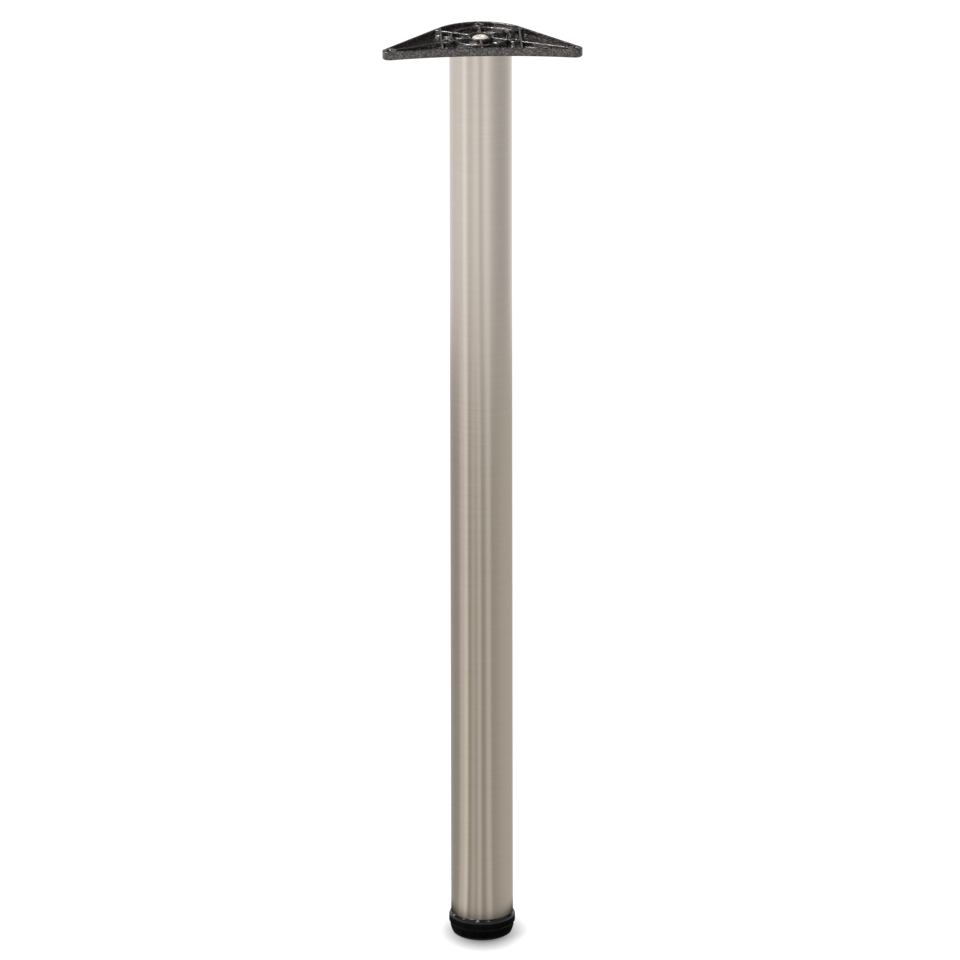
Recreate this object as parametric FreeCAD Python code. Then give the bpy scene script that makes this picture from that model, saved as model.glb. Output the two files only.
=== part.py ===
"""Height adjustable table leg: a 60 mm brushed steel tube with a ribbed die-cast mounting plate at the
top and a screw foot at the bottom.

Units are millimetres. Z runs up the tube's axis and the origin is on the floor, under the centre of the
foot. Y points to the plate's rounded back corner, and the plate's two arms spread to +X and -X.
"""

import FreeCAD
import Part
import math
import os

from FreeCAD import Vector

# Driving dimensions of the whole leg
LEG_HEIGHT = 915.0
TUBE_R = 30.0
TUBE_WALL = 1.2
FOOT_TRAVEL = 25.0
THREAD_LEFT = 19.0

# Running and assembly clearances
SLIP = 0.05
LOOSE = 0.3

# Mounting plate, seen from above
PLATE_H = 8.4
PLATE_FLOOR = 3.0
RIM_WALL = 2.3
RIB_WALL = 1.9
UNDERSIDE_BREAK = 1.0
POCKET_CORNER = 1.2
ROUNDED_POCKET = 900.0
SMALLEST_POCKET = 30.0
BACK_R = 53.0
BACK_Y = -8.5
ARM_REACH = 98.6
ARM_ANGLE = 25.0
TIP_R = 6.6
WAIST_Y = -39.4
RING_R = 28.4
CROSS_RIB_X = 38.0
INNER_SCREW_R = 35.6
TIP_BOSS_R = 7.5
INNER_BOSS_R = 5.0
SCREW_HOLE_R = 2.6

# Hub cup in the middle of the plate, and the spigot that centres the tube
HUB_R = 12.6
HUB_BORE_R = 10.6
HUB_DROP = 5.0
HUB_FLOOR = 3.0
SPIGOT_H = 10.0
SPIGOT_WALL = 3.0

# M10 hardware, used at both ends
BOLT_R = 5.0
BOLT_HOLE_R = 5.4
NUT_FLATS = 16.0
NUT_H = 8.4
HEX_HEAD_H = 6.4
BUTTON_R = 8.75
BUTTON_H = 5.5
BUTTON_FLAT_R = 4.6
BUTTON_RIM = 2.2
SOCKET_FLATS = 6.0
SOCKET_DEPTH = 3.0
WASHER_R = 10.0
WASHER_H = 2.0
LOCK_WASHER_R = 9.0
LOCK_WASHER_BORE = 5.15
LOCK_WASHER_H = 2.5
LOCK_WASHER_GAP = 1.6
TIE_BOLT_LENGTH = 40.0

# Moulded plugs inside the tube
PLUG_WALL = 2.4
PLUG_RIB = 2.0
PLUG_RIB_COUNT = 4
PLUG_BOSS_R = 12.0
TOP_PLUG_LENGTH = 30.0
TOP_PLUG_WEB = 5.0
TOP_BOSS_LENGTH = 27.5
BOTTOM_SLEEVE_LENGTH = 38.0
BOTTOM_BOSS_TOP = 44.0

# Collar, foot and glide, as heights above the floor
GLIDE_H = 3.0
FOOT_TOP = 12.0
COLLAR_TOP = 23.0
COLLAR_R = 32.0
COLLAR_FLOOR = 3.5
COLLAR_BREAK = 3.0
FOOT_R = 30.6
FOOT_SHOULDER_Z = 8.0
FOOT_BASE_R = 29.0
FOOT_WALL = 2.6
FOOT_WEB = 2.4
FOOT_RIB_COUNT = 6
GLIDE_TOP_R = 28.4
GLIDE_BASE_R = 25.6
GLIDE_EDGE_Z = 1.8
GLIDE_FLOOR = 1.6
BEARING_WALL = 1.6
BEARING_H = 3.0

# Heights that follow from the ones above
PLATE_UNDER = LEG_HEIGHT - PLATE_H
TUBE_BORE_R = TUBE_R - TUBE_WALL
TUBE_BOTTOM = FOOT_TOP + COLLAR_FLOOR
HUB_FLOOR_UNDER = PLATE_UNDER - HUB_DROP
HUB_FLOOR_TOP = HUB_FLOOR_UNDER + HUB_FLOOR
BUTTON_UNDER = HUB_FLOOR_TOP + WASHER_H + LOCK_WASHER_H
TOP_NUT_Z = HUB_FLOOR_UNDER - TOP_BOSS_LENGTH
SPINDLE_HEAD_Z = FOOT_TOP - FOOT_WEB - HEX_HEAD_H
SPINDLE_NUT_Z = FOOT_TOP + 0.6
SPINDLE_TOP = SPINDLE_NUT_Z + NUT_H + FOOT_TRAVEL + THREAD_LEFT

X_AXIS = Vector(1, 0, 0)
Z_AXIS = Vector(0, 0, 1)


def polar(radius, degrees, z=0.0):
    """A point at this radius and angle around the tube's axis."""
    angle = math.radians(degrees)
    return Vector(radius * math.cos(angle), radius * math.sin(angle), z)


def cylinder(radius, low, high, centre=Vector()):
    """An upright cylinder between two heights."""
    return Part.makeCylinder(radius, high - low, Vector(centre.x, centre.y, low), Z_AXIS)


def ring(outer, inner, low, high):
    """An upright ring between two heights."""
    return cylinder(outer, low, high).cut(cylinder(inner, low - 1, high + 1))


def hexagon(flats, low, high):
    """An upright hexagonal bar, with its flats this far apart."""
    corners = [polar(flats / math.sqrt(3), 60 * i, low) for i in range(7)]
    return Part.Face(Part.makePolygon(corners)).extrude(Vector(0, 0, high - low))


def turned(points):
    """A solid turned about the tube's axis from (radius, height) points."""
    corners = [Vector(r, 0, z) for r, z in points]
    profile = Part.makePolygon(corners + corners[:1])
    return Part.Face(profile).revolve(Vector(), Z_AXIS, 360)


def radial_bars(count, inner, outer, thickness, low, high, first=0.0):
    """Upright ribs between two radii, evenly spaced around the axis."""
    bars = []
    for i in range(count):
        bar = Part.makeBox(outer - inner, thickness, high - low, Vector(inner, -thickness / 2, low))
        bar.rotate(Vector(), Z_AXIS, first + i * 360.0 / count)
        bars.append(bar)
    return bars


def joined(first, others):
    """One solid from several that touch, with the seams between their faces removed."""
    return first.multiFuse(others).removeSplitter()


# Mounting plate

TIP = polar(ARM_REACH, -ARM_ANGLE)
WAIST_R = (TIP.x ** 2 + (TIP.y - WAIST_Y) ** 2 - TIP_R ** 2) / (2 * (TIP_R - TIP.y + WAIST_Y))
SCREW_PLACES = [
    TIP,
    Vector(-TIP.x, TIP.y, 0),
    polar(INNER_SCREW_R, -ARM_ANGLE),
    polar(INNER_SCREW_R, 180 + ARM_ANGLE),
    polar(INNER_SCREW_R, 90),
]


def arc_through(centre, radius, start, end):
    """The edge of a circle between two angles, in degrees."""
    points = [centre + polar(radius, a) for a in (start, (start + end) / 2, end)]
    return Part.Arc(*points).toShape()


def plate_outline(grow, z):
    """The plate's outline at a height, moved outwards by grow.

    One large round makes the back, straight edges run from it to the rounded arm tips, and one shallow
    arc joins the tips across the front.
    """
    back = Vector(0, BACK_Y, 0)
    reach = TIP - back
    lean = math.degrees(math.atan2(reach.y, reach.x) + math.acos((BACK_R - TIP_R) / reach.Length))
    waist = Vector(0, WAIST_Y - WAIST_R, 0)
    side = math.degrees(math.atan2(TIP.y - waist.y, TIP.x))
    left_tip = Vector(-TIP.x, TIP.y, 0)
    back_edge = [centre + polar(radius + grow, lean) for centre, radius in ((TIP, TIP_R), (back, BACK_R))]
    mirrored = [Vector(-p.x, p.y, 0) for p in reversed(back_edge)]
    edges = [
        arc_through(TIP, TIP_R + grow, side - 180, lean),
        Part.makeLine(*back_edge),
        arc_through(back, BACK_R + grow, lean, 180 - lean),
        Part.makeLine(*mirrored),
        arc_through(left_tip, TIP_R + grow, 180 - lean, 360 - side),
        arc_through(waist, WAIST_R - grow, 180 - side, side),
    ]
    wire = Part.Wire(Part.__sortEdges__(edges))
    wire.translate(Vector(0, 0, z))
    return wire


def flat_disc(radius, centre=Vector()):
    """A round face in the plan of the plate."""
    return Part.Face(Part.Wire(Part.makeCircle(radius, centre, Z_AXIS)))


def flat_bar(start, end, thickness):
    """A straight rib from one point to another, as a face in the plan of the plate."""
    along = end - start
    bar = Part.makePlane(along.Length, thickness, Vector(0, -thickness / 2, 0))
    bar.rotate(Vector(), Z_AXIS, math.degrees(math.atan2(along.y, along.x)))
    bar.translate(start)
    return bar


def rib_plan():
    """Everything that stands up to the table top inside the rim, as one face in plan."""
    reach = ARM_REACH + TIP_R
    shapes = [flat_disc(RING_R + RIB_WALL / 2).cut(flat_disc(RING_R - RIB_WALL / 2))]
    shapes += [flat_disc(HUB_R)]
    for degrees in (-ARM_ANGLE, ARM_ANGLE, 90):
        shapes.append(flat_bar(polar(reach, degrees + 180), polar(reach, degrees), RIB_WALL))
    for x in (-CROSS_RIB_X, CROSS_RIB_X):
        shapes.append(flat_bar(Vector(x, -reach, 0), Vector(x, reach, 0), RIB_WALL))
    for place in SCREW_PLACES:
        shapes.append(flat_disc(TIP_BOSS_R if place.Length > INNER_SCREW_R + 1 else INNER_BOSS_R, place))
    return shapes[0].multiFuse(shapes[1:])


def raised(face, z):
    """The outer wire of a face in plan, lifted to a height."""
    wire = face.Faces[0].OuterWire.copy()
    wire.translate(Vector(0, 0, z))
    return wire


def pocket(face, floor):
    """The space that one pocket between the ribs takes out of the plate.

    Only the two long pockets in the arms have rounded corners.
    """
    if face.Area > ROUNDED_POCKET:
        face = face.makeOffset2D(-POCKET_CORNER).makeOffset2D(POCKET_CORNER)
    return Part.Face(raised(face, floor)).extrude(Vector(0, 0, LEG_HEIGHT - floor + 1))


def plate_blank():
    """The casting before its pockets, with its lower edge broken."""
    low = plate_outline(0.0, PLATE_UNDER + UNDERSIDE_BREAK)
    side = Part.Face(low).extrude(Vector(0, 0, PLATE_H - UNDERSIDE_BREAK))
    under = Part.makeLoft([plate_outline(-UNDERSIDE_BREAK, PLATE_UNDER), low], True, True)
    return side.fuse(under)


def mounting_plate():
    """The ribbed casting that is screwed under the table top."""
    floor = PLATE_UNDER + PLATE_FLOOR
    inside = Part.Face(plate_outline(-RIM_WALL, 0.0))
    pockets = [pocket(f, floor) for f in inside.cut(rib_plan()).Faces if f.Area > SMALLEST_POCKET]
    hub = cylinder(HUB_R, HUB_FLOOR_UNDER, PLATE_UNDER + 1)
    spigot_r = TUBE_BORE_R - LOOSE
    spigot = ring(spigot_r, spigot_r - SPIGOT_WALL, PLATE_UNDER - SPIGOT_H, PLATE_UNDER + 1)
    cup = cylinder(HUB_BORE_R, HUB_FLOOR_TOP, LEG_HEIGHT + 1)
    bolt_hole = cylinder(BOLT_HOLE_R, HUB_FLOOR_UNDER - 1, HUB_FLOOR_TOP + 1)
    plate = joined(plate_blank().cut(pockets), [hub, spigot])
    screw_holes = [cylinder(SCREW_HOLE_R, PLATE_UNDER - 1, LEG_HEIGHT + 1, p) for p in SCREW_PLACES]
    return plate.cut([cup, bolt_hole] + screw_holes)


# Hardware that ties the plate to the tube

def tie_bolt():
    """M10 button head bolt, with a hexagon socket in its head."""
    top = BUTTON_UNDER + BUTTON_H
    shank_end = BUTTON_UNDER - TIE_BOLT_LENGTH
    bolt = turned([
        (0, top),
        (BUTTON_FLAT_R, top),
        (BUTTON_R, BUTTON_UNDER + BUTTON_RIM),
        (BUTTON_R, BUTTON_UNDER),
        (BOLT_R, BUTTON_UNDER),
        (BOLT_R, shank_end),
        (0, shank_end),
    ])
    return bolt.cut(hexagon(SOCKET_FLATS, top - SOCKET_DEPTH, top + 1))


def flat_washer():
    """Flat washer on the floor of the hub cup."""
    return ring(WASHER_R, BOLT_R + 0.25, HUB_FLOOR_TOP, HUB_FLOOR_TOP + WASHER_H)


def lock_washer():
    """Spring washer under the bolt's head, split on a slant."""
    low = HUB_FLOOR_TOP + WASHER_H
    high = low + LOCK_WASHER_H
    split = Part.makeBox(LOCK_WASHER_R, LOCK_WASHER_GAP, 3 * LOCK_WASHER_H, Vector(1, 0, -LOCK_WASHER_H))
    split.rotate(Vector(), X_AXIS, 25)
    split.translate(Vector(0, 0, low))
    return ring(LOCK_WASHER_R, LOCK_WASHER_BORE, low, high).cut(split)


def hex_nut(low):
    """M10 nut."""
    return hexagon(NUT_FLATS, low, low + NUT_H).cut(cylinder(BOLT_R + SLIP, low - 1, low + NUT_H + 1))


def top_plug():
    """Moulded plug in the tube's upper end. The nut sits in its boss, from below."""
    sleeve_r = TUBE_BORE_R - SLIP
    sleeve_top = PLATE_UNDER - SPIGOT_H - 1
    sleeve = ring(sleeve_r, sleeve_r - PLUG_WALL, sleeve_top - TOP_PLUG_LENGTH, sleeve_top)
    web = cylinder(sleeve_r - 1, sleeve_top - TOP_PLUG_WEB, sleeve_top)
    boss = cylinder(PLUG_BOSS_R, TOP_NUT_Z, HUB_FLOOR_UNDER)
    plug = joined(sleeve, [web, boss])
    bore = cylinder(BOLT_HOLE_R, TOP_NUT_Z - 1, HUB_FLOOR_UNDER + 1)
    return plug.cut([bore, hexagon(NUT_FLATS + 2 * SLIP, TOP_NUT_Z - 1, TOP_NUT_Z + NUT_H)])


# Tube

def leg_tube():
    """The seam-welded steel tube, between the collar's ledge and the underside of the plate."""
    return ring(TUBE_R, TUBE_BORE_R, TUBE_BOTTOM, PLATE_UNDER)


# Foot

def collar_plug():
    """Moulded plug in the tube's lower end, with the collar that shows around the tube."""
    sleeve_r = TUBE_BORE_R - SLIP
    sleeve_top = TUBE_BOTTOM + BOTTOM_SLEEVE_LENGTH
    shell = turned([
        (0, FOOT_TOP),
        (COLLAR_R, FOOT_TOP),
        (COLLAR_R, COLLAR_TOP - COLLAR_BREAK),
        (TUBE_R + SLIP, COLLAR_TOP),
        (TUBE_R + SLIP, TUBE_BOTTOM),
        (sleeve_r, TUBE_BOTTOM),
        (sleeve_r, sleeve_top),
        (sleeve_r - PLUG_WALL, sleeve_top),
        (sleeve_r - PLUG_WALL, TUBE_BOTTOM),
        (0, TUBE_BOTTOM),
    ])
    boss = cylinder(PLUG_BOSS_R, TUBE_BOTTOM - 1, BOTTOM_BOSS_TOP)
    rib_reach = sleeve_r - PLUG_WALL / 2
    rib_top = BOTTOM_BOSS_TOP - 2
    ribs = radial_bars(PLUG_RIB_COUNT, PLUG_BOSS_R - 1, rib_reach, PLUG_RIB, TUBE_BOTTOM - 1, rib_top)
    plug = joined(shell, [boss] + ribs)
    bore = cylinder(BOLT_HOLE_R, FOOT_TOP - 1, BOTTOM_BOSS_TOP + 1)
    return plug.cut([bore, hexagon(NUT_FLATS + 2 * SLIP, FOOT_TOP - 1, SPINDLE_NUT_Z + NUT_H)])


def foot_cup():
    """The black foot that is turned by hand, hollow and ribbed underneath."""
    outside = turned([
        (0, GLIDE_H),
        (FOOT_BASE_R, GLIDE_H),
        (FOOT_R, FOOT_SHOULDER_Z),
        (FOOT_R, FOOT_TOP),
        (0, FOOT_TOP),
    ])
    ceiling = FOOT_TOP - FOOT_WEB
    inside = ring(FOOT_BASE_R - FOOT_WALL, PLUG_BOSS_R, GLIDE_H - 1, ceiling)
    rib_reach = FOOT_BASE_R - FOOT_WALL / 2
    rib_low = GLIDE_H + BEARING_H + LOOSE
    ribs = radial_bars(FOOT_RIB_COUNT, PLUG_BOSS_R - 1, rib_reach, PLUG_RIB, rib_low, ceiling + 1)
    head_pocket = hexagon(NUT_FLATS + 2 * SLIP, GLIDE_H - 1, ceiling)
    shank_hole = cylinder(BOLT_R + SLIP, GLIDE_H - 1, FOOT_TOP + 1)
    return joined(outside.cut(inside), ribs).cut([head_pocket, shank_hole])


def spindle():
    """M10 hexagon bolt, held head down in the foot and screwed into the collar plug's nut."""
    head_top = SPINDLE_HEAD_Z + HEX_HEAD_H
    head = hexagon(NUT_FLATS, SPINDLE_HEAD_Z, head_top)
    return joined(head, [cylinder(BOLT_R, head_top - 1, SPINDLE_TOP)])


def floor_glide():
    """The glide that closes the foot's underside. Its collar turns on the foot's central boss."""
    bearing_r = PLUG_BOSS_R + SLIP
    return turned([
        (0, 0),
        (GLIDE_BASE_R, 0),
        (GLIDE_TOP_R, GLIDE_EDGE_Z),
        (GLIDE_TOP_R, GLIDE_H),
        (bearing_r + BEARING_WALL, GLIDE_H),
        (bearing_r + BEARING_WALL, GLIDE_H + BEARING_H),
        (bearing_r, GLIDE_H + BEARING_H),
        (bearing_r, GLIDE_FLOOR),
        (0, GLIDE_FLOOR),
    ])


PARTS = {
    "mounting_plate": mounting_plate,
    "tie_bolt": tie_bolt,
    "tie_bolt_lock_washer": lock_washer,
    "tie_bolt_washer": flat_washer,
    "top_plug": top_plug,
    "top_plug_nut": lambda: hex_nut(TOP_NUT_Z),
    "leg_tube": leg_tube,
    "collar_plug": collar_plug,
    "spindle_nut": lambda: hex_nut(SPINDLE_NUT_Z),
    "foot_cup": foot_cup,
    "spindle": spindle,
    "floor_glide": floor_glide,
}

os.makedirs("parts", exist_ok=True)
for name, build in PARTS.items():
    solids = build().Solids
    print(name, len(solids), "solid,", round(solids[0].Volume / 1000, 2), "cm3, valid", solids[0].isValid())
    solids[0].exportStep(os.path.join("parts", name + ".step"))
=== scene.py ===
# %% [markdown]
# # A height adjustable table leg
#
# The leg is a brushed metal tube with a ribbed, black enamelled mounting plate at the top and a black
# screw foot at the bottom. The CAD model gives every shape and size. This script dresses it: it rounds the
# edges that paint and moulding round, cuts the thread of the adjusting spindle, and gives each piece the
# material that the real one is made of.
#
# All lengths are in metres. Z runs up the tube, the origin is on the floor under the foot, and the plate's
# two arms point to the left and the right of the camera.

# %% Load the frame
import bmesh
import bpy
import math

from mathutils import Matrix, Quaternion, Vector


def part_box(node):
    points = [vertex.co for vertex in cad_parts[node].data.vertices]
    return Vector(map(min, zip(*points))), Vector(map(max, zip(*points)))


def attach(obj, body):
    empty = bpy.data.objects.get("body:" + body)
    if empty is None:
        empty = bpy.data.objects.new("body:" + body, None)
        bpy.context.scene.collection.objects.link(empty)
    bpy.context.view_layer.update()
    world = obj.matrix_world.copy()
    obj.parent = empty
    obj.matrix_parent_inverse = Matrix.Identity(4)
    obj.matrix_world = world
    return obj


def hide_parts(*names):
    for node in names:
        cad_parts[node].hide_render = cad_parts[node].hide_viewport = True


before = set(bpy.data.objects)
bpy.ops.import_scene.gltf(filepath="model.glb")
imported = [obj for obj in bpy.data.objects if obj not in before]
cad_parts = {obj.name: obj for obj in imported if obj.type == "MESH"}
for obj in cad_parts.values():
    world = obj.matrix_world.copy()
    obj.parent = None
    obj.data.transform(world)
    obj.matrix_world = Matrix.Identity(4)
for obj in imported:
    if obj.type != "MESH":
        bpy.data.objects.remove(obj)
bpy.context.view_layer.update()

MM = 0.001

# %% [markdown]
# ## The camera
#
# A product photograph of something this long is taken from far away through a long lens, so that the leg
# doesn't taper. Here the camera stands 22 m away and looks down by 19 degrees: the plate's top is seen at
# a shallow angle and the tube stays almost parallel. The camera is placed by a direction and a distance, so
# either can be changed without aiming it again.

# %% Camera
scene = bpy.context.scene
CAMERA_DISTANCE = 22.0
CAMERA_AZIMUTH = math.radians(-2.45)
CAMERA_ELEVATION = math.radians(19.2)
CAMERA_ROLL = math.radians(-0.1)
FRAME_HEIGHT = 0.926
SENSOR = 36.0
AIM = Vector((-0.0013, 0.0, 0.4641))

to_camera = Vector((
    math.sin(CAMERA_AZIMUTH) * math.cos(CAMERA_ELEVATION),
    -math.cos(CAMERA_AZIMUTH) * math.cos(CAMERA_ELEVATION),
    math.sin(CAMERA_ELEVATION),
))
lens = bpy.data.cameras.new("camera")
lens.sensor_width = SENSOR
lens.lens = SENSOR * CAMERA_DISTANCE / FRAME_HEIGHT
lens.clip_end = 100.0
camera = bpy.data.objects.new("camera", lens)
camera.rotation_mode = "QUATERNION"
camera.location = AIM + to_camera * CAMERA_DISTANCE
camera.rotation_quaternion = (-to_camera).to_track_quat("-Z", "Y") @ Quaternion((0, 0, 1), CAMERA_ROLL)
scene.collection.objects.link(camera)
scene.camera = camera
scene.view_settings.view_transform = "Standard"
print("focal length", round(lens.lens), "mm")

# %% [markdown]
# ## Colours and nodes
#
# Colours are picked as sRGB hex values, which is how a paint or a photograph gives them. Shaders want them
# linear, so one function converts them. A second one adds a node and wires its inputs, and a third starts a
# material.

# %% Helpers for materials
def linear(hex_colour):
    """An sRGB hex colour as the linear colour that a shader reads."""
    channels = [int(hex_colour[i:i + 2], 16) / 255 for i in (1, 3, 5)]
    return [c / 12.92 if c <= 0.04045 else ((c + 0.055) / 1.055) ** 2.4 for c in channels] + [1.0]


def add(tree, kind, inputs=(), **settings):
    """Adds a node. Each input is a value, or the output of another node."""
    made = tree.nodes.new("ShaderNode" + kind)
    for name, value in settings.items():
        setattr(made, name, value)
    for socket, value in dict(inputs).items():
        if isinstance(value, bpy.types.NodeSocket):
            tree.links.new(value, made.inputs[socket])
        else:
            made.inputs[socket].default_value = value
    return made


def new_material(name):
    """An empty node material and its output node."""
    material = bpy.data.materials.new(name)
    material.use_nodes = True
    material.node_tree.nodes.clear()
    print("material", name)
    return material, add(material.node_tree, "OutputMaterial")


print("mid grey is", round(linear("#808080")[0], 3), "in linear light")

# %% [markdown]
# ## The studio
#
# Brushed metal looks like whatever stands around it, so the studio matters as much as the metal. The floor
# is a sweep of white paper, and two things of it show: the shadow of the foot, and its image in the tube.
#
# The first function paints what the camera sees. Paper under soft lamps is grey, and stronger lamps would
# burn out the metal. So the paper is lifted to white for camera rays only. Towards the foot it loses both
# its colour and its lift: a painted shadow, which deepens the soft shadow that the lamps give.

# %% Paper that the camera sees
PAPER = "#A8A8A8"
PAPER_SHARE = 0.45
PAPER_LIFT = 0.95
SHADOW_NEAR = 0.020
SHADOW_FAR = 0.0665
SHADOW_DEEPEST = 0.10
SHADOW_NARROWER = 1.45


def lifted_paper(tree, place, camera_ray):
    """White paper with a painted soft shadow round the foot, narrower across the picture than along it."""
    stretched = add(tree, "VectorMath", {0: place, 1: (SHADOW_NARROWER, 1, 1)}, operation="MULTIPLY")
    reach = add(tree, "VectorMath", {0: stretched.outputs[0]}, operation="LENGTH")
    # painted shadow: the paper loses colour and lift towards the foot
    shade = add(tree, "MapRange", {"Value": reach.outputs["Value"], "From Min": SHADOW_NEAR,
                                   "From Max": SHADOW_FAR, "To Min": SHADOW_DEEPEST})
    share = add(tree, "MapRange", {"Value": camera_ray, "To Min": 1.0, "To Max": PAPER_SHARE})
    share = add(tree, "Math", {0: share.outputs[0], 1: shade.outputs[0]}, operation="MULTIPLY")
    tint = add(tree, "VectorMath", {0: linear(PAPER)[:3], "Scale": share.outputs[0]}, operation="SCALE")
    paper = add(tree, "BsdfDiffuse", {"Color": tint.outputs[0]})
    lift = add(tree, "Math", {0: camera_ray, 1: PAPER_LIFT}, operation="MULTIPLY")
    lift = add(tree, "Math", {0: lift.outputs[0], 1: shade.outputs[0]}, operation="MULTIPLY")
    glow = add(tree, "Emission", {"Strength": lift.outputs[0]})
    return add(tree, "AddShader", {0: paper.outputs[0], 1: glow.outputs[0]}).outputs[0]


print("foot's shadow reaches", round(SHADOW_FAR / MM), "mm")

# %% [markdown]
# The second function paints what the metal sees. The upright tube mirrors the floor around it: its upper
# half shows the far floor, its lower half the near floor, and each upright band on it is one direction round
# the leg. A photographer shapes these bands with grey and white boards. Here a curve over the direction
# does it, one for the far floor and one for the near floor. Right under the foot a painted shade makes the
# mirrored floor almost black, as little light gets there, and the foot mirrors it.

# %% Paper that the metal mirrors
NEAR_EDGE = 1.66
FAR_EDGE = 1.92
CONTACT_SHADE_NEAR = 0.085
CONTACT_SHADE_FAR = 0.112
CONTACT_SHADE_LEVEL = 0.06
BRIGHTEST = 1.25
NEAR_PAPER = "#FFFBF1"
FAR_PAPER = "#FFFFFF"
# Each pair is a direction in degrees, from the camera's side towards the right, and a level.
FAR_LEVELS = (
    (-180, 0.9), (-150, 0.9), (-120, 0.88), (-100, 0.94), (-78, 0.96), (-66, 1.18), (-54, 0.94),
    (-41, 0.84), (-33, 0.9), (-18, 1.02), (-4, 0.78), (14, 1.05), (24, 0.98), (42, 0.75),
    (76, 0.58), (108, 0.66), (140, 0.85), (180, 0.9),
)
NEAR_LEVELS = (
    (-180, 0.56), (-150, 0.47), (-116, 0.41), (-98, 0.44), (-84, 0.66), (-70, 0.74), (-60, 0.88),
    (-47, 0.41), (-33, 0.58), (-22, 0.48), (-11, 0.68), (3, 0.40), (24, 0.68), (38, 0.45),
    (50, 0.47), (76, 0.55), (108, 0.58), (140, 0.56), (180, 0.56),
)


def board_levels(tree, turn, levels):
    """How bright the boards are, as a curve over the direction round the leg."""
    curve = add(tree, "FloatCurve", {"Value": turn})
    points = curve.mapping.curves[0].points
    for degrees, level in levels[1:-1]:
        points.new(degrees / 360 + 0.5, level / BRIGHTEST)
    points[0].location = (0.0, levels[0][1] / BRIGHTEST)
    points[len(levels) - 1].location = (1.0, levels[-1][1] / BRIGHTEST)
    curve.mapping.update()
    return add(tree, "Math", {0: curve.outputs[0], 1: BRIGHTEST}, operation="MULTIPLY").outputs[0]


def mirrored_boards(tree, place):
    """Soft boards on the floor, brighter far away than near, with a painted shade, almost black, under the
    foot.
    """
    split = add(tree, "SeparateXYZ", {0: place})
    front = add(tree, "Math", {0: split.outputs["Y"], 1: -1.0}, operation="MULTIPLY")
    angle = add(tree, "Math", {0: split.outputs["X"], 1: front.outputs[0]}, operation="ARCTAN2")
    turn = add(tree, "MapRange", {"Value": angle.outputs[0], "From Min": -math.pi, "From Max": math.pi})
    distance = add(tree, "VectorMath", {0: place}, operation="LENGTH").outputs["Value"]
    far = add(tree, "MapRange", {"Value": distance, "From Min": NEAR_EDGE, "From Max": FAR_EDGE})
    levels = add(tree, "Mix", {0: far.outputs[0], 2: board_levels(tree, turn.outputs[0], NEAR_LEVELS),
                               3: board_levels(tree, turn.outputs[0], FAR_LEVELS)})
    colour = add(tree, "Mix", {0: far.outputs[0], 6: linear(NEAR_PAPER), 7: linear(FAR_PAPER)},
                 data_type="RGBA")
    # painted shade: the mirrored floor turns almost black towards the foot
    painted_contact_shade = add(tree, "MapRange", {"Value": distance, "From Min": CONTACT_SHADE_NEAR,
                                     "From Max": CONTACT_SHADE_FAR, "To Min": CONTACT_SHADE_LEVEL})
    level = add(tree, "Math", {0: levels.outputs[0], 1: painted_contact_shade.outputs[0]}, operation="MULTIPLY")
    return add(tree, "Emission", {"Color": colour.outputs[2], "Strength": level.outputs[0]}).outputs[0]


print("boards:", len(NEAR_LEVELS), "points near the leg,", len(FAR_LEVELS), "points far away")

# %% [markdown]
# The floor is one large square. Light paths choose between the two paints, and the square is clear from
# below, so that the leg can also be looked at from underneath. It lies a twentieth of a millimetre under the
# glide, because two faces in one place would flicker through each other. When the foot is screwed out, the
# floor goes down with the glide: the leg always stands on it.

# %% Floor
FLOOR_HALF = 30.0
FLOOR_DROP = 0.05 * MM


def white_sweep():
    """White paper: one paint for the camera, another for what mirrors it, and clear from its back."""
    material, output = new_material("white_paper")
    tree = material.node_tree
    here = add(tree, "NewGeometry")
    rays = add(tree, "LightPath")
    paper = lifted_paper(tree, here.outputs["Position"], rays.outputs["Is Camera Ray"])
    boards = mirrored_boards(tree, here.outputs["Position"])
    top = add(tree, "MixShader", {0: rays.outputs["Is Glossy Ray"], 1: paper, 2: boards})
    clear = add(tree, "BsdfTransparent")
    sheet = add(tree, "MixShader", {0: here.outputs["Backfacing"], 1: top.outputs[0], 2: clear.outputs[0]})
    tree.links.new(sheet.outputs[0], output.inputs["Surface"])
    return material


corners = [(x * FLOOR_HALF, y * FLOOR_HALF, -FLOOR_DROP) for x, y in ((-1, -1), (1, -1), (1, 1), (-1, 1))]
sheet = bpy.data.meshes.new("floor")
sheet.from_pydata(corners, [], [(0, 1, 2, 3)])
sheet.materials.append(white_sweep())
floor = bpy.data.objects.new("floor", sheet)
scene.collection.objects.link(floor)
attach(floor, "glide")
print("floor", 2 * FLOOR_HALF, "m wide")

# %% [markdown]
# ## The room
#
# The room is white to the camera and gives a plain, even light. In reflections it has white walls and a dark
# ceiling, like a studio whose ceiling is painted out: the flat tops of the plate's glossy ribs mirror it and
# stay black. In front of the leg the lower part of the ceiling is grey, so that the tube still looks like
# nickel when it is seen from below.

# %% World
WORLD_LEVEL = 0.5
WALL_TOP = math.sin(math.radians(6))
CEILING_FROM = math.sin(math.radians(12))
CEILING_LEVEL = 0.02
FRONT_LEVEL = 0.40
FRONT_UP_TO = math.sin(math.radians(38))
FRONT_END = math.sin(math.radians(50))
BACK_FROM = 0.05
BACK_FULL = 0.45

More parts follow.
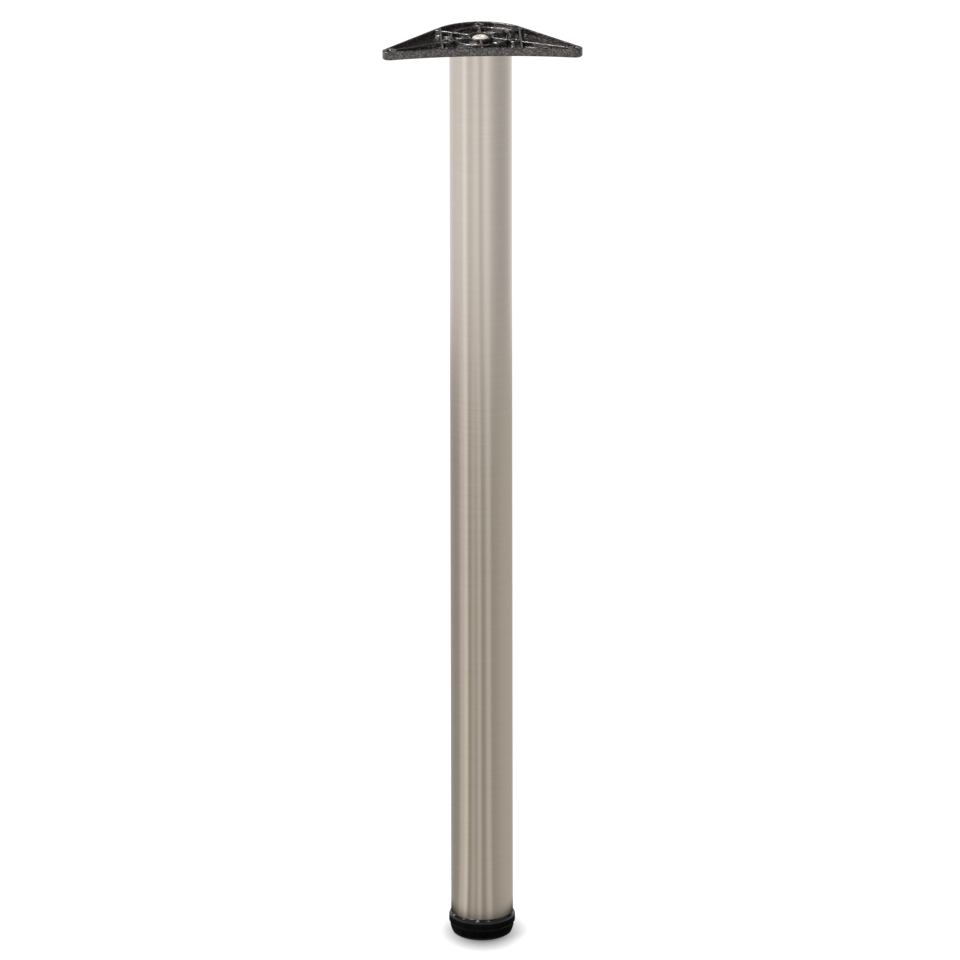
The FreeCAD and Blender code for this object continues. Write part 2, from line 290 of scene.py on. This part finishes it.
world = bpy.data.worlds.new("white_room")
world.use_nodes = True
tree = world.node_tree
tree.nodes.clear()
rays = add(tree, "LightPath")
way = add(tree, "SeparateXYZ", {0: add(tree, "TexCoord").outputs["Generated"]})
front = add(tree, "MapRange", {"Value": way.outputs["Z"], "From Min": FRONT_UP_TO, "From Max": FRONT_END,
                               "To Min": FRONT_LEVEL, "To Max": CEILING_LEVEL})
ceiling = add(tree, "MapRange", {"Value": way.outputs["Y"], "From Min": BACK_FROM, "From Max": BACK_FULL,
                                 "To Min": front.outputs[0], "To Max": CEILING_LEVEL})
room = add(tree, "MapRange", {"Value": way.outputs["Z"], "From Min": WALL_TOP, "From Max": CEILING_FROM,
                              "To Min": 1.0, "To Max": ceiling.outputs[0]})
seen = add(tree, "Math", {0: rays.outputs["Is Camera Ray"], 1: rays.outputs["Is Transmission Ray"]},
           operation="MAXIMUM")
level = add(tree, "MapRange", {"Value": seen.outputs[0], "To Min": WORLD_LEVEL, "To Max": 1.0})
level = add(tree, "Mix", {0: rays.outputs["Is Glossy Ray"], 2: level.outputs[0], 3: room.outputs[0]})
white = add(tree, "Background", {"Color": (1, 1, 1, 1), "Strength": level.outputs[0]})
add(tree, "OutputWorld", {"Surface": white.outputs[0]})
scene.world = world
print("world with", len(tree.nodes), "nodes")

# %% [markdown]
# ## The lamps
#
# One large softbox hangs high on the left and gives the light its direction: it draws the bright lines
# along the ribs that face it. Four narrow strip lights stand round the leg and put short highlights on the
# rounded edges of the foot. They are small, because glossy plastic shows a lamp as a mirror does, and weak,
# because they mustn't light the plate.

# %% Lamps
LAMP_AIM = Vector((0, 0, 0.45))
# Direction and elevation in degrees, distance, width and height in metres, and watts.
LAMPS = {
    "softbox": (-58, 52, 2.0, 0.75, 0.75, 62.0),
    "strip_back_left": (-122, 5, 2.0, 0.20, 0.30, 1.5),
    "strip_left": (-76, 30, 2.0, 0.10, 0.9, 3.0),
    "strip_front_left": (-18, 30, 2.0, 0.08, 0.9, 4.0),
    "strip_front_right": (26, 30, 2.0, 0.08, 0.9, 1.5),
}


def round_the_leg(degrees, elevation, distance):
    """A step away from the leg, turned from the camera's side towards the right."""
    turned = CAMERA_AZIMUTH + math.radians(degrees)
    raised = math.radians(elevation)
    flat = distance * math.cos(raised)
    return Vector((math.sin(turned) * flat, -math.cos(turned) * flat, distance * math.sin(raised)))


for name, (degrees, elevation, distance, width, height, watts) in LAMPS.items():
    light = bpy.data.lights.new(name, "AREA")
    light.shape = "RECTANGLE"
    light.size = width
    light.size_y = height
    light.energy = watts
    lamp = bpy.data.objects.new(name, light)
    lamp.location = round_the_leg(degrees, elevation, distance) + LAMP_AIM
    lamp.rotation_euler = (LAMP_AIM - lamp.location).to_track_quat("-Z", "Y").to_euler()
    lamp.visible_camera = False
    scene.collection.objects.link(lamp)
    radiance = watts / (math.pi * width * height)
    print("lamp", name, [round(v, 2) for v in lamp.location], "radiance", round(radiance, 2))

# %% [markdown]
# ## Black hammered enamel
#
# The plate is a zinc die casting under stoved hammered enamel: black paint with metal flakes in it, which
# pulls itself into shallow dimples about a millimetre across. A picture of it could be printed on the plate,
# but it would blur in close-ups. Voronoi cells make both things at any distance: smooth cells push the
# surface in and out, and a threshold on a second set decides where flakes lie near the surface. A real flake
# is about 0.1 mm wide, which is finer than a pixel, so clusters of flakes 1.1 mm wide are drawn instead. A
# clear coat over both gives the wet gloss of the paint.

# %% Enamel
DIMPLE = 1.3 * MM
FLAKE_CLUSTER = 1.1 * MM
finishes = {}


def hammered_enamel():
    """Glossy black paint with metal flakes and shallow dimples."""
    material, output = new_material("black_hammered_enamel")
    tree = material.node_tree
    place = add(tree, "TexCoord").outputs["Object"]
    dimples = add(tree, "TexVoronoi", {"Vector": place, "Scale": 1 / DIMPLE, "Randomness": 0.9},
                  feature="SMOOTH_F1")
    bump = add(tree, "Bump", {"Height": dimples.outputs["Distance"], "Distance": 0.3 * DIMPLE,
                              "Strength": 0.9})
    grains = add(tree, "TexVoronoi", {"Vector": place, "Scale": 1 / FLAKE_CLUSTER})
    grain = add(tree, "SeparateColor", {0: grains.outputs["Color"]})
    flake = add(tree, "MapRange", {"Value": grain.outputs["Red"], "From Min": 0.6, "From Max": 0.85})
    colour = add(tree, "Mix", {0: flake.outputs[0], 6: linear("#0A0504"), 7: linear("#706966")},
                 data_type="RGBA")
    skin = add(tree, "BsdfPrincipled", {
        "Base Color": colour.outputs[2],
        "Metallic": flake.outputs[0],
        "Roughness": 0.3,
        "IOR": 1.5,
        "Coat Weight": 1.0,
        "Coat IOR": 1.5,
        "Coat Roughness": 0.12,
        "Normal": bump.outputs[0],
        "Coat Normal": bump.outputs[0],
    })
    tree.links.new(skin.outputs[0], output.inputs["Surface"])
    return material


finishes["cast_plate"] = hammered_enamel()

# %% [markdown]
# ## Brushed nickel
#
# The tube is steel with a brushed, nickel plated skin. The belt runs round the tube, so the scratches are
# rings a few hundredths of a millimetre wide. They smear a reflection along the tube and keep it sharp
# across, which gives the long upright bands. An anisotropic shader does this without drawing scratches. The
# rings that are drawn are 1 mm wide, because the real ones would vanish between the pixels, and they only
# change the roughness and the tone a little.

# %% Tube finish
RING_GRAIN = 1.0 * MM
RING_LENGTH = 40 * MM


def brushed_nickel():
    """A warm metal whose reflections are drawn out along the tube."""
    material, output = new_material("brushed_nickel")
    tree = material.node_tree
    place = add(tree, "TexCoord").outputs["Object"]
    stretch = (1 / RING_LENGTH, 1 / RING_LENGTH, 1 / RING_GRAIN)
    along = add(tree, "VectorMath", {0: place, 1: stretch}, operation="MULTIPLY")
    grain = add(tree, "TexNoise", {"Vector": along.outputs[0], "Scale": 1.0, "Detail": 3.0})
    colour = add(tree, "Mix", {0: grain.outputs[0], 6: linear("#C9BFB5"), 7: linear("#D5CCC3")},
                 data_type="RGBA")
    rough = add(tree, "MapRange", {"Value": grain.outputs[0], "To Min": 0.13, "To Max": 0.19})
    tangent = add(tree, "Tangent", direction_type="RADIAL", axis="Z")
    metal = add(tree, "BsdfPrincipled", {
        "Base Color": colour.outputs[2],
        "Metallic": 1.0,
        "Roughness": rough.outputs[0],
        "Anisotropic": 0.6,
        "Anisotropic Rotation": 0.25,
        "Tangent": tangent.outputs[0],
    })
    tree.links.new(metal.outputs[0], output.inputs["Surface"])
    return material


finishes["brushed_tube"] = brushed_nickel()

# %% [markdown]
# ## Bright zinc plate
#
# Bolts, nuts and washers are steel with a thin bright zinc layer. Its clear passivation leaves clouds that
# are a little bluish or yellowish, a few millimetres wide, and a whitish bloom: part of the light is
# scattered instead of mirrored, so the shader is only partly metallic.

# %% Hardware finish
CLOUD = 4 * MM


def bright_zinc():
    """Bright plating with a faint bloom and clouds of yellow."""
    material, output = new_material("bright_zinc_plate")
    tree = material.node_tree
    place = add(tree, "TexCoord").outputs["Object"]
    cloud = add(tree, "TexNoise", {"Vector": place, "Scale": 1 / CLOUD, "Detail": 2.0})
    colour = add(tree, "Mix", {0: cloud.outputs[0], 6: linear("#E3DDDA"), 7: linear("#E8DDCF")},
                 data_type="RGBA")
    rough = add(tree, "MapRange", {"Value": cloud.outputs[0], "To Min": 0.30, "To Max": 0.42})
    bloom = add(tree, "MapRange", {"Value": cloud.outputs[0], "To Min": 0.65, "To Max": 0.45})
    metal = add(tree, "BsdfPrincipled", {
        "Base Color": colour.outputs[2],
        "Metallic": bloom.outputs[0],
        "Roughness": rough.outputs[0],
    })
    tree.links.new(metal.outputs[0], output.inputs["Surface"])
    return material


finishes["zinc"] = bright_zinc()

# %% [markdown]
# ## Three moulded plastics
#
# The collar and the foot are glossy polypropylene from a polished mould, with a sink of a hundredth of a
# millimetre here and there. The glide is softer polyethylene, which is waxy and dull, and the plugs inside
# the tube are nylon with a spark eroded grain. One function makes all three, because they differ in colour,
# gloss and grain only.

# %% Plastics
PLASTIC_IOR = 1.49
GLOSS_SPREAD = 0.04


def moulded(name, hex_colour, roughness, grain, depth):
    """A moulded plastic: grain is the width of its surface pattern and depth its height."""
    material, output = new_material(name)
    tree = material.node_tree
    place = add(tree, "TexCoord").outputs["Object"]
    noise = add(tree, "TexNoise", {"Vector": place, "Scale": 1 / grain, "Detail": 2.0})
    bump = add(tree, "Bump", {"Height": noise.outputs[0], "Distance": depth, "Strength": 1.0})
    rough = add(tree, "MapRange", {"Value": noise.outputs[0], "To Min": roughness - GLOSS_SPREAD,
                                   "To Max": roughness + GLOSS_SPREAD})
    skin = add(tree, "BsdfPrincipled", {
        "Base Color": linear(hex_colour),
        "Roughness": rough.outputs[0],
        "IOR": PLASTIC_IOR,
        "Normal": bump.outputs[0],
    })
    tree.links.new(skin.outputs[0], output.inputs["Surface"])
    return material


finishes["plug_plastic"] = moulded("spark_eroded_black_nylon", "#141414", 0.42, 0.5 * MM, 0.04 * MM)
finishes["foot_plastic"] = moulded("glossy_black_polypropylene", "#070707", 0.16, 6 * MM, 0.012 * MM)
finishes["glide_plastic"] = moulded("waxy_black_polyethylene", "#121212", 0.45, 2 * MM, 0.03 * MM)

# %% [markdown]
# The CAD model names a material slot on each piece. Each slot gets the finish of that name, so the hidden
# pieces, such as the nuts in the plugs, are dressed by the same few lines.

# %% Finishes on the pieces
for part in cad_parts.values():
    for slot in part.material_slots:
        slot.material = finishes[slot.material.name.split(".")[0]]
print("finishes on", len(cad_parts), "pieces")

# %% [markdown]
# ## Rounded edges
#
# A CAD solid has edges that are sharper than any casting or moulding, and it is the rounded edges that catch
# the light. Each visible piece is therefore a copy of its CAD mesh: doubled corners are welded, the triangles
# of each flat face are merged, and a bevel rounds the edges that are left. The bevel takes a weight from each
# edge, so that the thin ribs inside the foot get a smaller round than the outside.

# %% Weights and bevels
SHARP = math.radians(28)
WELD = 0.001 * MM
FLAT = math.radians(1)


def weigh_edges(shape, lesser=1.0, is_lesser=None):
    """Gives each sharp edge a bevel weight: the lesser one where all its corners pass a test."""
    weight = shape.edges.layers.float.new("bevel_weight_edge")
    for edge in shape.edges:
        if edge.is_manifold and edge.calc_face_angle() > SHARP:
            small = is_lesser and all(is_lesser(vertex.co) for vertex in edge.verts)
            edge[weight] = lesser if small else 1.0


def dressed(mesh, node, body, radius=0.0, steps=3):
    """Puts a mesh on a body in place of a CAD node, with the edges that have a weight rounded."""
    for polygon in mesh.polygons:
        polygon.use_smooth = True
    mesh.materials.append(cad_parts[node].material_slots[0].material)
    piece = bpy.data.objects.new(mesh.name, mesh)
    scene.collection.objects.link(piece)
    if radius:
        rounding = piece.modifiers.new("rounded edges", "BEVEL")
        rounding.width = radius
        rounding.segments = steps
        rounding.limit_method = "WEIGHT"
        rounding.use_clamp_overlap = False
    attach(piece, body)
    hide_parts(node)
    even = piece.modifiers.new("even shading", "WEIGHTED_NORMAL")
    even.keep_sharp = True
    print(mesh.name, len(mesh.polygons), "faces, edges rounded by", round(radius / MM, 2), "mm")
    return piece


print("edges of more than", round(math.degrees(SHARP)), "degrees are rounded")

# %% [markdown]
# Paint on the casting rounds its ribs by 0.7 mm, less near the underside. The collar's shoulder is the
# softest edge of the leg, with 1.5 mm. Inside the foot and the collar the edges stay tight, because the nut
# and the ribs sit there.

# %% Plate, collar, foot and glide
def softened(node, body, radius, steps, lesser, is_lesser):
    """A copy of a CAD node with its edges rounded."""
    shape = bmesh.new()
    shape.from_mesh(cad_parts[node].data)
    bmesh.ops.remove_doubles(shape, verts=shape.verts, dist=WELD)
    bmesh.ops.dissolve_limit(shape, angle_limit=FLAT, verts=shape.verts, edges=shape.edges)
    weigh_edges(shape, lesser, is_lesser)
    mesh = bpy.data.meshes.new(node + "_soft")
    shape.to_mesh(mesh)
    shape.free()
    return dressed(mesh, node, body, radius, steps)


plate_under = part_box("leg_tube")[1].z
softened("mounting_plate", "leg", 0.7 * MM, 4, 0.55, lambda co: co.z < plate_under + 1.5 * MM)
softened("collar_plug", "leg", 1.5 * MM, 5, 0.2, lambda co: co.xy.length < 31.5 * MM)
softened("foot_cup", "foot", 0.7 * MM, 4, 0.4, lambda co: co.xy.length < 28.5 * MM)
softened("floor_glide", "glide", 0.5 * MM, 3, 0.5, lambda co: co.xy.length < 25.0 * MM)

# %% [markdown]
# ## Turned pieces
#
# The tube, the tie bolt and the adjusting spindle are round, so they are made again as rings of points with
# a skin over them. That gives a finer circle than the CAD mesh. A ring may also be six sided, which makes the
# socket of the bolt and the head of the spindle.

# %% Rings and skin
SIXTH = math.tau / 6


def ring(radius, height, columns=72, six_sided=False):
    """Points round the axis. For six sides the radius is the one of the flats."""
    points = []
    for i in range(columns):
        angle = math.tau * i / columns
        wider = math.cos(angle % SIXTH - SIXTH / 2) if six_sided else 1.0
        points.append(Vector((math.cos(angle) * radius / wider, math.sin(angle) * radius / wider, height)))
    return points


def skinned(name, *layers):
    """A closed mesh over rings. In a thread, the end of each ring joins the ring that is wrap rows on."""
    shape = bmesh.new()
    for rings, wrap in layers:
        rows = [[shape.verts.new(point) for point in points] for points in rings]
        columns = len(rows[0])
        for low in range(len(rows) - 1):
            for i in range(columns):
                turns, j = divmod(i + 1, columns)
                other = low + turns * wrap
                if other + 1 < len(rows):
                    shape.faces.new((rows[low][i], rows[other][j], rows[other + 1][j], rows[low + 1][i]))
    bmesh.ops.remove_doubles(shape, verts=shape.verts, dist=WELD)
    bmesh.ops.holes_fill(shape, edges=[edge for edge in shape.edges if edge.is_boundary])
    bmesh.ops.recalc_face_normals(shape, faces=shape.faces)
    weigh_edges(shape)
    mesh = bpy.data.meshes.new(name)
    shape.to_mesh(mesh)
    shape.free()
    return mesh


print("a six sided ring is", round(1 / math.cos(SIXTH / 2), 3), "times as wide over its corners")

# %% [markdown]
# The tube is a ring of steel 1.2 mm thick. Its long outline shows every facet, so it gets 144 columns, and
# its sawn ends are broken by 0.15 mm.

# %% Tube
TUBE_WALL = 1.2 * MM
TUBE_COLUMNS = 144

low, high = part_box("leg_tube")
outer, inner = high.x, high.x - TUBE_WALL
profile = ((outer, low.z), (outer, high.z), (inner, high.z), (inner, low.z), (outer, low.z))
tube = skinned("tube", ([ring(radius, height, TUBE_COLUMNS) for radius, height in profile], 0))
dressed(tube, "leg_tube", "leg", 0.15 * MM, 2)

# %% [markdown]
# The tie bolt's button head is a dome with a hexagon socket. The dome is a quarter of an ellipse from the rim
# to the small flat on top, and the mouth of the socket is chamfered from round to six sided.

# %% Tie bolt
SHANK_R = 5.0 * MM
SHANK_CHAMFER = 0.9 * MM
HEAD_H = 5.5 * MM
HEAD_RIM = 1.3 * MM
HEAD_FLAT_R = 4.0 * MM
DOME_STEPS = 8
SOCKET_R = 3.0 * MM
SOCKET_CHAMFER = 0.4 * MM
SOCKET_DEPTH = 3.0 * MM

low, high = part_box("tie_bolt")
head_r = high.x
under = high.z - HEAD_H
dome = []
for step in range(DOME_STEPS + 1):
    angle = math.radians(90 * step / DOME_STEPS)
    dome.append(ring(HEAD_FLAT_R + (head_r - HEAD_FLAT_R) * math.cos(angle),
                     under + HEAD_RIM + (HEAD_H - HEAD_RIM) * math.sin(angle)))
bolt = skinned("tie_bolt_domed", ([
    ring(SHANK_R - SHANK_CHAMFER, low.z),
    ring(SHANK_R, low.z + SHANK_CHAMFER),
    ring(SHANK_R, under),
    ring(head_r, under),
    *dome,
    ring(SOCKET_R, high.z - SOCKET_CHAMFER, six_sided=True),
    ring(SOCKET_R, high.z - SOCKET_DEPTH, six_sided=True),
], 0))
dressed(bolt, "tie_bolt", "leg", 0.15 * MM, 2)

# %% [markdown]
# ## The adjusting spindle
#
# The spindle is an M10 bolt. When the foot is screwed out, its thread shows in the gap, so it is a real
# helix with the standard profile: 60 degree flanks, a flat crest and a flat root. Four rows of points climb
# one pitch per turn. Rows that would leave the ends of the thread are held there, where they melt together.

# %% Spindle
PITCH = 1.5 * MM
THREAD_DEPTH = 0.6134 * PITCH
# Each row has its height in pitches, and 0 for the root or 1 for the crest.
THREAD_ROWS = ((0.0, 0.0), (0.25, 0.0), (0.5625, 1.0), (0.6875, 1.0))
THREAD_COLUMNS = 36
HEX_HEAD_H = 6.4 * MM
HEX_FLATS = 16.0 * MM
END_CHAMFER = 1.3 * MM

low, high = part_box("spindle")
head_top = low.z + HEX_HEAD_H
root = SHANK_R - THREAD_DEPTH


def thread_row(turn, phase, crest):
    """One row of points that climbs round the spindle."""
    points = []
    for i in range(THREAD_COLUMNS):
        angle = math.tau * i / THREAD_COLUMNS
        height = head_top + PITCH * (turn + phase + i / THREAD_COLUMNS - 1)
        height = min(max(height, head_top), high.z)
        radius = root + THREAD_DEPTH * crest if head_top < height < high.z else root
        radius = min(radius, SHANK_R - END_CHAMFER + (high.z - height))
        points.append(Vector((math.cos(angle) * radius, math.sin(angle) * radius, height)))
    return points


turns = math.ceil((high.z - head_top) / PITCH) + 2
thread = [thread_row(turn, phase, crest) for turn in range(turns) for phase, crest in THREAD_ROWS]
head = [
    ring(HEX_FLATS / 2, low.z, THREAD_COLUMNS, six_sided=True),
    ring(HEX_FLATS / 2, head_top, THREAD_COLUMNS, six_sided=True),
    ring(root, head_top, THREAD_COLUMNS),
]
spindle = skinned("spindle_threaded", (head, 0), (thread, len(THREAD_ROWS)))
dressed(spindle, "spindle", "foot")
